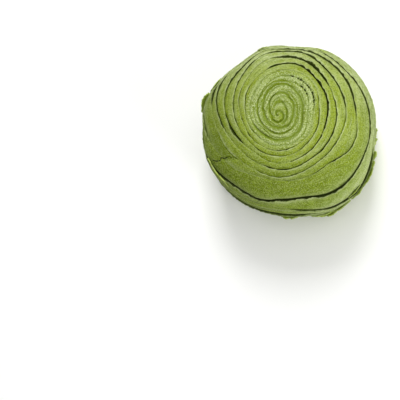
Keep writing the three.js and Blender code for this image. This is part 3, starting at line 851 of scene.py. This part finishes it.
def pastry_material():
    """Green dough under flour, with light and shade painted into its colour. Noise scales are per millimetre,
    in space or across and along the strands.
    """
    material = bpy.data.materials.new("matcha_dough")
    material.use_nodes = True
    n = Nodes(material)
    shader = n.tree.nodes["Principled BSDF"]
    place = n.vector("MULTIPLY", n.add("ShaderNodeTexCoord").outputs["Object"], (1 / MM,) * 3)
    strand = n.attribute("strand", "Vector")
    edge, cavity, groove, crumb, bare, crest, leaf, hem = (
        n.attribute(name) for name in ("edge", "cavity", "groove", "crumb", "bare", "crest", "leaf", "hem"))

    cloud = n.noise(place, 0.07, 3)
    grain = n.noise(place, 2.0, 3, 0.7)
    fleck = n.noise(place, 2.7, 2, 0.6)
    dust = n.noise(place, 0.55, 4, 0.65)
    open_skin = n.math("SUBTRACT", 1.0, n.math("MAXIMUM", cavity, n.times(bare, BARE_SKIN)), clamp=True)
    streak = n.times(n.noise(n.vector("MULTIPLY", strand, (2.6, 0.14, 1.0)), 1.0, 3, 0.6), open_skin)
    ring = n.noise(n.vector("MULTIPLY", strand, (1.5, 0.09, 1.0)), 1.0, 2, 0.6)
    band = n.times(n.noise(n.vector("MULTIPLY", strand, (0.5, 0.08, 1.0)), 1.0, 2, 0.5), open_skin)

    # Painted light and shade: paler with flour on the flanks towards the lamps, deeper green and darker low
    # on the far flank
    patchy = n.times(cloud, PATCHINESS)
    most_dusted_and_lit = n.utmost("MAXIMUM", [n.dot(place, side) for side in DUSTED_AND_LIT_SIDES])
    dusted_and_lit = n.ramp(n.math("ADD", most_dusted_and_lit, patchy), *DUSTED_AND_LIT_FROM)
    faded_and_lit = n.ramp(n.math("ADD", n.dot(place, FADED_AND_LIT_SIDE), patchy), *FADED_AND_LIT_FROM)
    floured_and_lit = n.ramp(n.math("MAXIMUM", dusted_and_lit, faded_and_lit), 0, 1, LEAST_FLOUR_AND_LIGHT, 1)
    deep_and_shaded = n.math("SUBTRACT", 1.0, floured_and_lit)
    # a painted shadow line along the tear
    tear = tear_share(n, place)

    layers = (  # share of the colour that is laid over what is there, and the colour
        (n.times(floured_and_lit, n.ramp(band, 0.46, 0.66, 0, 0.75)), FLOURY),
        (n.times(floured_and_lit, n.ramp(streak, 0.44, 0.62, 0, 0.8)), DOUGH_PALE),
        # flour and painted light on the flanks towards the lamps
        (n.times(dusted_and_lit, n.ramp(dust, 0.36, 0.62, 0.2, 0.95)), FLOUR_AND_HIGHLIGHT),
        # on the crests: flour and a painted highlight, with darker rings of groove green and painted shade
        (n.times(crest, n.ramp(streak, 0.38, 0.58, 0, 0.9)), FLOURY),
        (n.times(crest, n.ramp(ring, 0.52, 0.42, 0, 0.6)), GROOVE_GREEN_AND_SHADE),
        (n.ramp(grain, 0.5, 0.4, 0, 0.75), SPECK),
        # where shade is painted: more dark specks, and some pale flecks
        (n.times(deep_and_shaded, n.ramp(dust, 0.53, 0.43, 0, 0.6)), SPECK),
        (n.times(deep_and_shaded, n.ramp(grain, 0.56, 0.47, 0, 1)), SPECK),
        (n.times(deep_and_shaded, n.ramp(fleck, 0.5, 0.58, 0, 1)), DOUGH_PALE),
        (n.times(hem, n.ramp(dust, 0.35, 0.6, 0.35, 0.85)), FLOURY),
        (n.ramp(streak, 0.45, 0.3, 0, 0.75), SPECK),
        (n.times(n.math("ADD", crest, 0.4), n.ramp(fleck, 0.52, 0.6, 0, 0.75)), FLOUR_AND_HIGHLIGHT),
        (n.times(crumb, n.ramp(grain, 0.42, 0.6, 0, 0.5)), FLOUR_AND_HIGHLIGHT),
        # painted light on the flakes
        (n.times(leaf, 0.85), FLAKE_PAINTED_LIGHT),
        # painted highlight on the lips and the flakes' edges
        (n.times(edge, n.ramp(dust, 0.35, 0.6, 0.3, 0.9)), FLOUR_AND_HIGHLIGHT),
        # in the grooves: darker green and painted shade
        (n.ramp(groove, 0.02, 0.6, 0, 0.7), GROOVE_GREEN_AND_SHADE),
        # painted shade in the cracks and the flakes' roots, and a painted shadow line along the tear
        (n.math("MAXIMUM", n.ramp(cavity, 0.2, 1.0, 0, 0.94), tear), CRACK_SHADE),
    )
    # the deep green low on the far flank is partly painted shade
    base = n.mix(faded_and_lit, DOUGH_DEEP_AND_SHADED, DOUGH)
    for share, colour in layers:
        base = n.mix(share, base, colour)
    n.tree.links.new(base, shader.inputs["Base Color"])
    shader.inputs["Roughness"].default_value = ROUGHNESS
    shader.inputs["Specular IOR Level"].default_value = SPECULAR

    height = n.math("ADD", n.times(grain, GRAIN_BUMP), n.times(streak, STREAK_BUMP))
    height = n.math("ADD", height, n.times(tear, TEAR_BUMP))
    bump = n.add("ShaderNodeBump", {"Height": height, "Distance": BUMP_HEIGHT, "Strength": BUMP_STRENGTH})
    n.tree.links.new(bump.outputs["Normal"], shader.inputs["Normal"])
    return material


dough = pastry_material()
for piece in (skin, flakes):
    piece.data.materials.append(dough)
    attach(piece, "root")
    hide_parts("pastry")

# Floor
FLOOR_HALF = 1.0                 # metres
FLOOR_COLOUR = (0.9, 0.9, 0.89, 1)
FLOOR_ROUGHNESS = 0.9
floor_mesh = bpy.data.meshes.new("floor")
floor_corners = [(x * FLOOR_HALF, y * FLOOR_HALF, 0) for x, y in ((-1, -1), (1, -1), (1, 1), (-1, 1))]
floor_mesh.from_pydata(floor_corners, [], [(0, 1, 2, 3)])
floor = bpy.data.objects.new("floor", floor_mesh)
bpy.context.scene.collection.objects.link(floor)
floor_material = bpy.data.materials.new("floor")
floor_material.use_nodes = True
floor_shader = floor_material.node_tree.nodes["Principled BSDF"]
floor_shader.inputs["Base Color"].default_value = FLOOR_COLOUR
floor_shader.inputs["Roughness"].default_value = FLOOR_ROUGHNESS
floor_mesh.materials.append(floor_material)

# Camera: at the photo's viewing angle, with the pastry where the photo has it
LENS = 100
SENSOR = 36
FRAME_PIXELS = 400
CAMERA_DISTANCE = 0.394          # metres
TILT = math.radians(17)          # between the line of sight and the upright
FACING = math.radians(304)       # the side of the pastry that leans towards the camera
PASTRY_AT = (287.6, 129)         # pixel of the photo where the pastry's middle lies

middle = Vector((0, 0, HEIGHT / 2 * MM))
sight = Vector((math.sin(TILT) * math.cos(FACING), math.sin(TILT) * math.sin(FACING), math.cos(TILT)))
up = (Vector((0, 1, 0)) - sight * sight.y).normalized()
right = up.cross(sight)
facing_pastry = Matrix((right, up, sight)).transposed()
pixels_per_unit = LENS / SENSOR * FRAME_PIXELS
ray = Vector((PASTRY_AT[0] - FRAME_PIXELS / 2, FRAME_PIXELS / 2 - PASTRY_AT[1], -pixels_per_unit))
turn_aside = ray.rotation_difference(Vector((0, 0, -1))).to_matrix()
camera_data = bpy.data.cameras.new("camera")
camera_data.lens = LENS
camera_data.sensor_width = SENSOR
camera = bpy.data.objects.new("camera", camera_data)
turned = (facing_pastry @ turn_aside).to_4x4()
camera.matrix_world = Matrix.Translation(middle + sight * CAMERA_DISTANCE) @ turned
bpy.context.scene.collection.objects.link(camera)
bpy.context.scene.camera = camera

# Square lamps that face the pastry: name, direction, elevation, distance and size in metres, and watts
LIGHTS = (
    ("key", 88, 50, 0.7, 0.3, 3.5),
    ("side", 326, 22, 0.7, 0.3, 2.7),
    ("above", 40, 82, 0.8, 0.6, 2),
)
WORLD_STRENGTH = 0.35

for name, direction, elevation, distance, lamp_size, power in LIGHTS:
    azimuth, rise = math.radians(direction), math.radians(elevation)
    way = Vector((math.cos(rise) * math.cos(azimuth), math.cos(rise) * math.sin(azimuth), math.sin(rise)))
    lamp_data = bpy.data.lights.new(name, "AREA")
    lamp_data.size = lamp_size
    lamp_data.energy = power
    lamp = bpy.data.objects.new(name, lamp_data)
    lamp.location = middle + way * distance
    lamp.rotation_euler = way.to_track_quat("Z", "Y").to_euler()
    bpy.context.scene.collection.objects.link(lamp)

world = bpy.data.worlds.new("studio")
bpy.context.scene.world = world
world.use_nodes = True
background = world.node_tree.nodes["Background"]
background.inputs["Color"].default_value = (1, 1, 1, 1)
background.inputs["Strength"].default_value = WORLD_STRENGTH
bpy.context.scene.view_settings.view_transform = "Standard"
